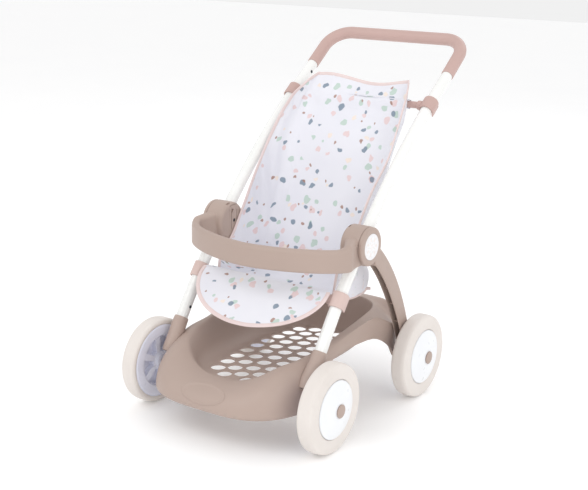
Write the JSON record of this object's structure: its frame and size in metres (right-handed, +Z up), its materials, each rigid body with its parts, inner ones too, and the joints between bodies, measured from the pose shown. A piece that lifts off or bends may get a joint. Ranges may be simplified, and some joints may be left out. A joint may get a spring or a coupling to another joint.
{
  "type": "doll stroller",
  "caption": "Toy doll stroller: pierced basket tray on spoked wheels, bent side tubes, U-shaped push handle, wrap-round bumper bar and a printed fabric sling seat with a leg flap.",
  "frame": {"origin": "on the floor, under the middle of the stroller's length and width", "axes": "+Z up, -Y towards the front of the tray, +X towards the stroller's left side, the wheel axles lie along X"},
  "size_m": [0.376, 0.5677, 0.5753],
  "materials": {
    "taupe_plastic": "fine matte grain",
    "rose_plastic": "satin",
    "pale_rose_plastic": "satin",
    "white_paint": "gloss paint",
    "cream_tyre": "satin",
    "white_plastic": "semi-gloss",
    "print_disc": "printed, satin",
    "printed_cotton": "woven, printed",
    "steel": "bare",
    "dark_steel": "dark, satin"
  },
  "bodies": {
    "frame": {"base_tray": "taupe_plastic", "front_socket_left": "taupe_plastic", "front_socket_right": "taupe_plastic", "rear_leg_left": "taupe_plastic", "rear_leg_right": "taupe_plastic", "bumper_bar": "taupe_plastic", "housing_cover_left": "taupe_plastic", "housing_cover_right": "taupe_plastic", "housing_screw_left": "dark_steel", "housing_screw_right": "dark_steel", "boss_disc_left": "print_disc", "boss_disc_right": "print_disc", "side_tube_left": "white_paint", "side_tube_right": "white_paint", "push_handle": "rose_plastic", "handle_pin_left": "dark_steel", "handle_pin_right": "dark_steel", "socket_pin_left": "dark_steel", "socket_pin_right": "dark_steel", "upper_crossbar": "rose_plastic", "lower_crossbar": "rose_plastic", "upper_clip_left": "rose_plastic", "upper_clip_right": "rose_plastic", "lower_clip_left": "pale_rose_plastic", "lower_clip_right": "pale_rose_plastic", "seat_sling": "printed_cotton", "leg_flap": "printed_cotton", "front_pin_left": "steel", "front_pin_right": "steel", "rear_pin_left": "steel", "rear_pin_right": "steel"},
    "wheel_front_left": {"tyre_front_left": "cream_tyre", "wheel_body_front_left": "white_plastic", "wheel_cover_front_left": "white_plastic", "hub_cap_front_left": "taupe_plastic"},
    "wheel_front_right": {"tyre_front_right": "cream_tyre", "wheel_body_front_right": "white_plastic", "wheel_cover_front_right": "white_plastic", "hub_cap_front_right": "taupe_plastic"},
    "wheel_rear_left": {"tyre_rear_left": "cream_tyre", "wheel_body_rear_left": "white_plastic", "wheel_cover_rear_left": "white_plastic", "hub_cap_rear_left": "taupe_plastic"},
    "wheel_rear_right": {"tyre_rear_right": "cream_tyre", "wheel_body_rear_right": "white_plastic", "wheel_cover_rear_right": "white_plastic", "hub_cap_rear_right": "taupe_plastic"}
  },
  "joints": [
    {"name": "front_left_wheel_spin", "type": "hinge", "parent": "frame", "child": "wheel_front_left", "pos_m": [0.1654, -0.1868, 0.0685], "axis": [1, 0, 0], "continuous": true},
    {"name": "front_right_wheel_spin", "type": "hinge", "parent": "frame", "child": "wheel_front_right", "pos_m": [-0.1654, -0.1868, 0.0685], "axis": [1, 0, 0], "continuous": true},
    {"name": "rear_left_wheel_spin", "type": "hinge", "parent": "frame", "child": "wheel_rear_left", "pos_m": [0.1654, 0.0839, 0.0685], "axis": [1, 0, 0], "continuous": true},
    {"name": "rear_right_wheel_spin", "type": "hinge", "parent": "frame", "child": "wheel_rear_right", "pos_m": [-0.1654, 0.0839, 0.0685], "axis": [1, 0, 0], "continuous": true}
  ]
}
